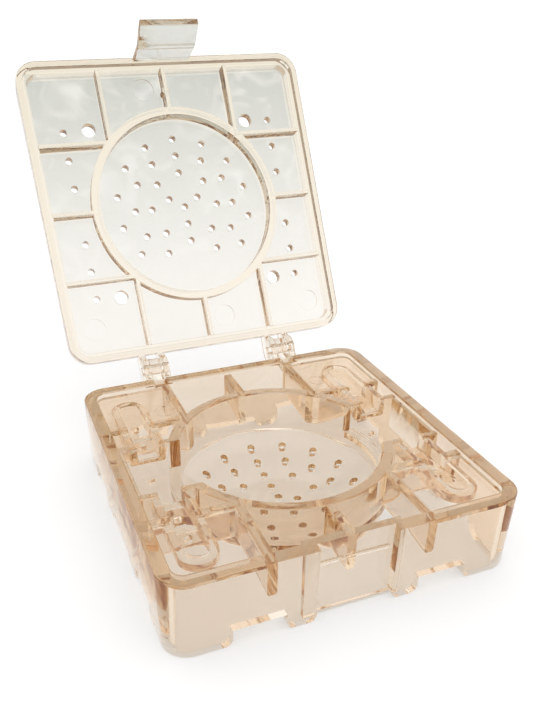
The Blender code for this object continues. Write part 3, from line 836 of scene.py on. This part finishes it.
def lid_tint(nodes):
    """The lid's colour, with its painted light and shade, by its place on the closed lid and by which way its
    surface faces.
    """
    closing = swing.inverted() @ Matrix.Translation(Vector((0, -middle_y * MM, 0)))
    place, (x, y, z), facing = placed(nodes, closing)
    outer = largest(abs(x), abs(y))
    radius = distance(x, y)
    towards_hinge = (y + HALF) * (1 / WIDTH)
    pane_with_painted_shade, painted_light_cream, amber = (nodes.mix(towards_hinge, *ends) for ends in (PANE_TINTS_AND_PAINTED_SHADE, CREAMS_PAINTED_LIGHT, AMBERS))
    flow = nodes.out(nodes.make("ShaderNodeTexNoise", None, Vector=place, **FLOW_MARKS))
    pane_with_painted_shade = nodes.mix((flow - FLOW_MEAN) * FLOW_CONTRAST, pane_with_painted_shade, CLOUD)
    # The tab is greyed with painted shade, darker below its crease.
    tab = (z < TAB_TOP) * (y < 0)
    pane_with_painted_shade = nodes.mix(tab, pane_with_painted_shade, nodes.mix(z > TAB_CREASE, *TAB_PAINTED_SHADES))
    ring = between(radius, LID_RING_INNER, RING_OUTER)
    rim = (outer > HALF - LID_WALL) * (z > LID_RIM - PAST)
    rows = [(way, row) for way in (x, y) for row in (0, LID_RIB_PITCH)]
    ribs = [between(abs(way), row - LID_RIB_HALF, row + LID_RIB_HALF) for way, row in rows]
    # Painted light: the thick parts are painted cream.
    painted_light_thick = largest(ring, rim, largest(*ribs) * (radius > RING_OUTER) * (z > LID_RIM))
    upright = (1 - abs(facing[2])) * (outer < HALF - 2 * SOFT_EDGE)
    rim_wall = outer > HALF - LID_WALL - PAST / 4
    by_ring = between(radius, LID_RING_INNER - PAST, RING_OUTER + PAST)
    ring_strength = (z - LID_RING) * (RING_AMBER / (CEILING - LID_RING))
    crease = between(z, TAB_CREASE - PAST, TAB_CREASE + PAST)
    tab_edges = largest(abs(facing[0]) > MOSTLY, z < TAB_TIP + PAST, crease) * TAB_PAINTED_LIGHT
    edges = largest(upright * (1 - rim_wall) * (1 - by_ring * (1 - ring_strength)), tab * tab_edges)
    colour = nodes.mix(edges, nodes.mix(painted_light_thick, pane_with_painted_shade, painted_light_cream), amber)
    # Painted shade on the step's upright face.
    painted_shade_step = upright * (outer > step_edge - PAST) * between(z, LID_RIM, LID_RIM + STEP_DEPTH)
    return nodes.mix(painted_shade_step, colour, STEP_PAINTED_SHADE)


lid_nodes = Nodes("lid_clear_plastic")
lid.data.materials.clear()
lid_plastic = clear_plastic(lid_nodes, lid_tint(lid_nodes), LID_ABSORBED, LID_DENSITY, LID_WAVES)
lid.data.materials.append(lid_plastic)
settle(lid, "clear_lid", "lid", "lid")

# Hinge pins: short plain pins of the same plastic, one through each lug and its two ears. They stay with the
# tray, and the lid turns on them.
PIN = 1.1
PIN_SOFT = 0.2
PIN_TINT = (0.985, 0.95, 0.925, 1)
PIN_ABSORBED = (0.83, 0.5, 0.0)
PIN_DENSITY = 30.0
PIN_WAVES = 0.05
pin_plastic = clear_plastic(Nodes("pin_clear_plastic"), PIN_TINT, PIN_ABSORBED, PIN_DENSITY, PIN_WAVES)
for side, name in ((-1, "left"), (1, "right")):
    reach = LUG / 2 + EAR_GAP + EAR
    pin = cross_bar((side * HINGE_X - reach, side * HINGE_X + reach), PIN, PIN_SOFT)
    pin.data.materials.append(pin_plastic)
    settle(pin, "clear_hinge_pin_" + name, "tray", "hinge_pin_" + name)

# Stage: a plain white sheet under even studio light from all round, a little brighter overhead. The camera
# stands at the photograph's angle.
FLOOR_SIZE = 60.0
PAPER_WHITE = (0.6, 0.6, 0.6, 1)
PAPER_GLOW = 0.44
bpy.ops.mesh.primitive_plane_add(size=FLOOR_SIZE, location=(0, 0, 0))
sheet = bpy.context.object
sheet.name = "white_sheet"
paper = Nodes("white_paper")
matte = paper.make("ShaderNodeBsdfPrincipled", None, Base_Color=PAPER_WHITE, Roughness=1.0)
matte.inputs["Specular IOR Level"].default_value = 0.0
matte.inputs["Emission Color"].default_value = (1, 1, 1, 1)
matte.inputs["Emission Strength"].default_value = PAPER_GLOW
paper_end = paper.make("ShaderNodeOutputMaterial")
paper.tree.links.new(matte.outputs[0], paper_end.inputs["Surface"])
sheet.data.materials.append(paper.material)

CLEAR_BOUNCES = 48
PAPER_BOUNCES = 8
scene = bpy.context.scene
scene.view_settings.view_transform = "Standard"
scene.cycles.max_bounces = CLEAR_BOUNCES
scene.cycles.transmission_bounces = CLEAR_BOUNCES
scene.cycles.glossy_bounces = CLEAR_BOUNCES
scene.cycles.diffuse_bounces = PAPER_BOUNCES
world = bpy.data.worlds.new("studio")
scene.world = world
world.use_nodes = True
sky = world.node_tree.nodes["Background"]
SKY_STOPS = ((0.0, 0.9), (0.3, 1.0), (0.6, 1.1), (1.0, 1.15))
towards = world.node_tree.nodes.new("ShaderNodeTexCoord")
parts = world.node_tree.nodes.new("ShaderNodeSeparateXYZ")
ramp = world.node_tree.nodes.new("ShaderNodeValToRGB")
while len(ramp.color_ramp.elements) < len(SKY_STOPS):
    ramp.color_ramp.elements.new(0.5)
for stop, (height, brightness) in zip(ramp.color_ramp.elements, SKY_STOPS):
    stop.position = height
    stop.color = (brightness, brightness, brightness, 1)
world.node_tree.links.new(towards.outputs["Generated"], parts.inputs[0])
world.node_tree.links.new(parts.outputs["Z"], ramp.inputs[0])
world.node_tree.links.new(ramp.outputs[0], sky.inputs["Color"])
sky.inputs["Strength"].default_value = 1.0

CAMERA_PLACE = Vector((-66.3, -149.25 + middle_y, 123.6)) * MM
CAMERA_LOOK = Vector((0.3018, 0.7783, -0.5506))
CAMERA_SENSOR = 36.0
CAMERA_LENS = 36.44
CAMERA_SHIFT = (0.0223, 0.1379)
CAMERA_CLIP = (0.01, 100.0)
camera = bpy.data.objects.new("camera", bpy.data.cameras.new("camera"))
scene.collection.objects.link(camera)
camera.location = CAMERA_PLACE
camera.rotation_euler = CAMERA_LOOK.to_track_quat("-Z", "Y").to_euler()
camera.data.sensor_width = CAMERA_SENSOR
camera.data.lens = CAMERA_LENS
camera.data.shift_x, camera.data.shift_y = CAMERA_SHIFT
camera.data.clip_start, camera.data.clip_end = CAMERA_CLIP
scene.camera = camera
